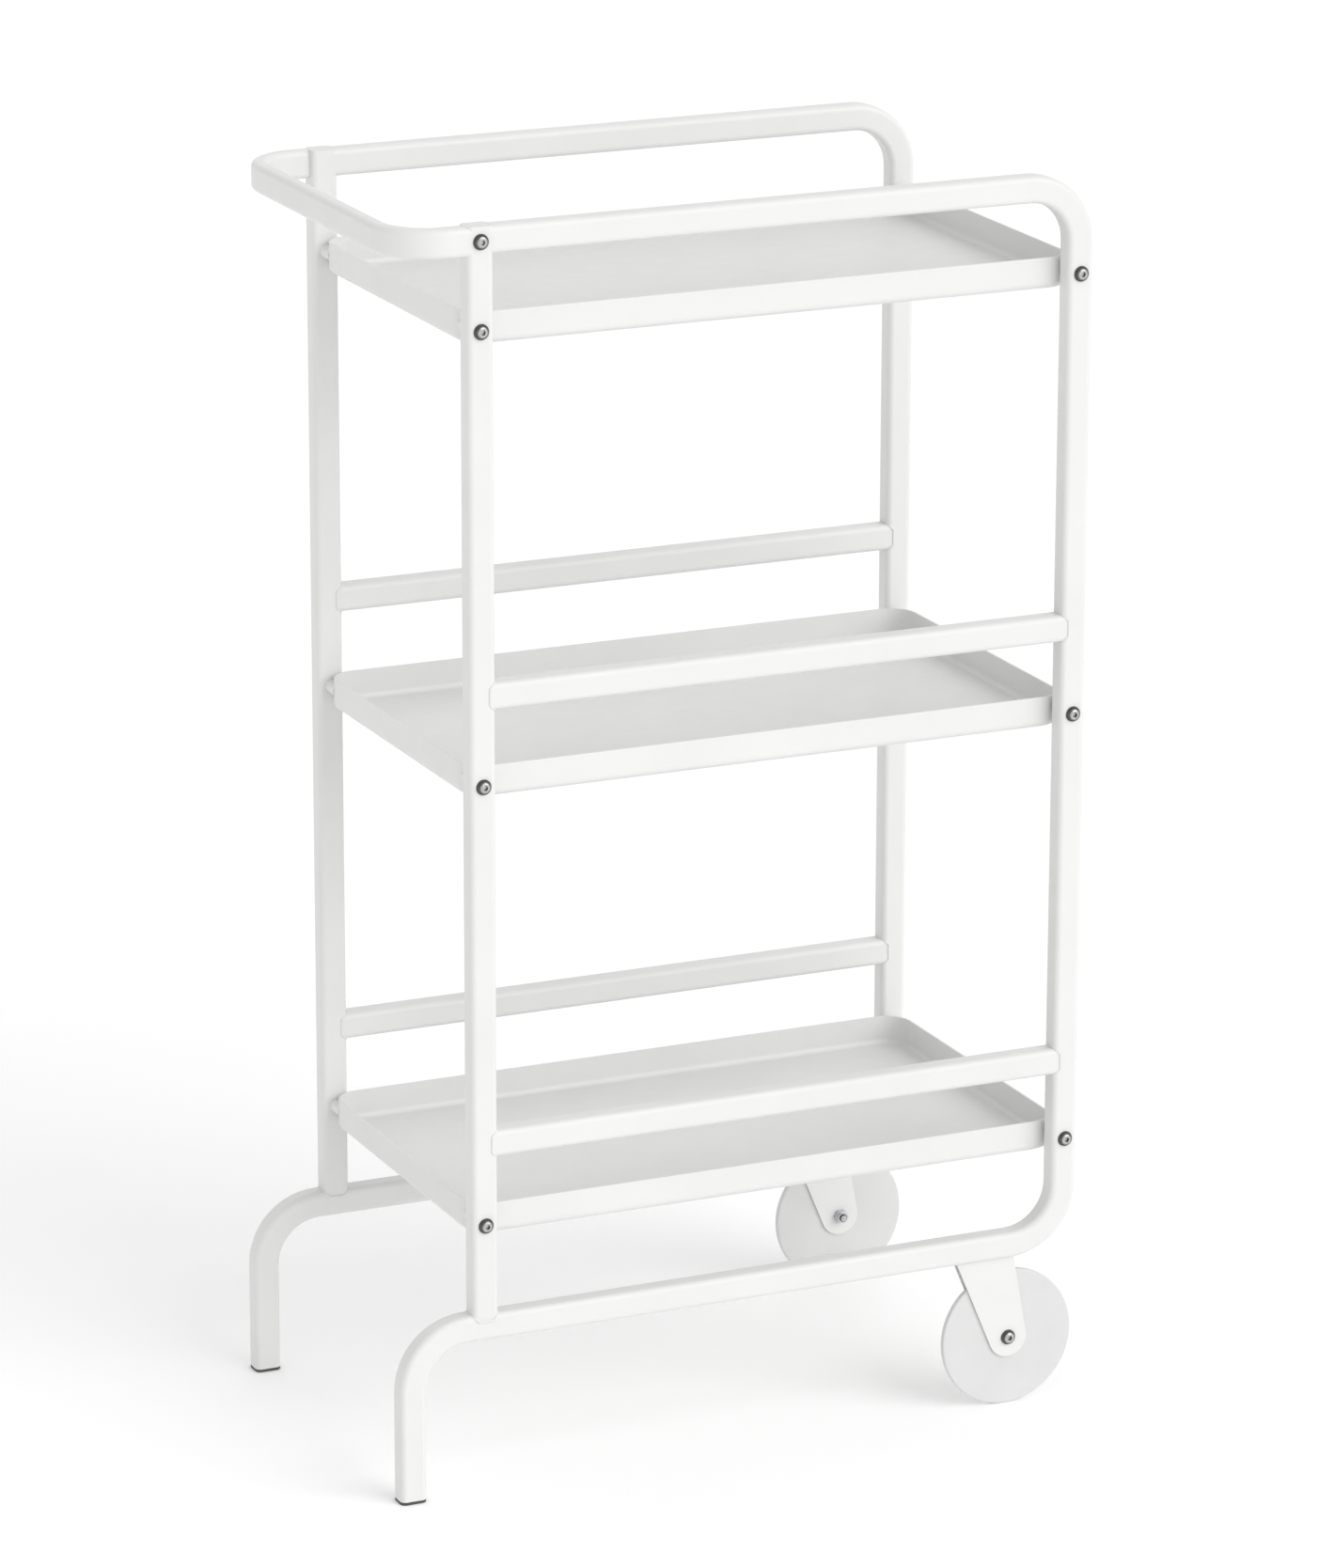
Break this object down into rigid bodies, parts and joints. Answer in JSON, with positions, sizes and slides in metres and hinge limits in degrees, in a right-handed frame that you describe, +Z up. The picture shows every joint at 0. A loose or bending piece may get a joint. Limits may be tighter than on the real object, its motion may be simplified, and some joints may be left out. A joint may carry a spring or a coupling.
{
  "type": "rolling pantry cart",
  "caption": "Slim rolling pantry cart: bent white steel tube side frames, three shallow sheet trays, a U-shaped push handle, plain feet at one end and disc wheels at the other.",
  "frame": {"origin": "on the floor, under the middle of the overall box", "axes": "+Z up, +X along the trays towards the wheels, +Y across the cart from the near frame to the far frame"},
  "size_m": [0.4476, 0.2582, 0.77],
  "materials": {
    "white_powder_coat": "satin white powder coat with a very fine texture",
    "white_tray_coat": "satin white powder coat on sheet steel",
    "screw_steel": "zinc-plated button-head hexagon-socket screws",
    "zinc_steel": "bright zinc plating",
    "grey_plastic": "matt dark grey moulded plastic",
    "white_plastic": "satin white moulded plastic",
    "natural_nylon": "natural nylon"
  },
  "bodies": {
    "root": {"handle_tube": "white_powder_coat", "handle_screws": "screw_steel", "near_frame_tube": "white_powder_coat", "near_front_post": "white_powder_coat", "near_middle_guard": "white_powder_coat", "near_lower_guard": "white_powder_coat", "near_post_top_plate": "white_powder_coat", "near_handle_spigot": "zinc_steel", "near_foot_cap": "grey_plastic", "near_wheel_fork": "white_powder_coat", "near_axle_sleeve": "zinc_steel", "near_thrust_washers": "natural_nylon", "near_axle_bolt": "screw_steel", "near_axle_nut": "zinc_steel", "far_frame_tube": "white_powder_coat", "far_front_post": "white_powder_coat", "far_middle_guard": "white_powder_coat", "far_lower_guard": "white_powder_coat", "far_post_top_plate": "white_powder_coat", "far_handle_spigot": "zinc_steel", "far_foot_cap": "grey_plastic", "far_wheel_fork": "white_powder_coat", "far_axle_sleeve": "zinc_steel", "far_thrust_washers": "natural_nylon", "far_axle_bolt": "screw_steel", "far_axle_nut": "zinc_steel", "top_tray": "white_tray_coat", "top_tray_bosses": "white_powder_coat", "top_tray_screws": "screw_steel", "middle_tray": "white_tray_coat", "middle_tray_bosses": "white_powder_coat", "middle_tray_screws": "screw_steel", "bottom_tray": "white_tray_coat", "bottom_tray_bosses": "white_powder_coat", "bottom_tray_screws": "screw_steel"},
    "near_wheel": {"near_wheel_disc": "white_plastic"},
    "far_wheel": {"far_wheel_disc": "white_plastic"}
  },
  "joints": [
    {"name": "near_wheel_spin", "type": "hinge", "parent": "root", "child": "near_wheel", "pos_m": [0.18035, -0.1193, 0.0437], "axis": [0, 1, 0], "continuous": true},
    {"name": "far_wheel_spin", "type": "hinge", "parent": "root", "child": "far_wheel", "pos_m": [0.18035, 0.1193, 0.0437], "axis": [0, 1, 0], "continuous": true}
  ]
}
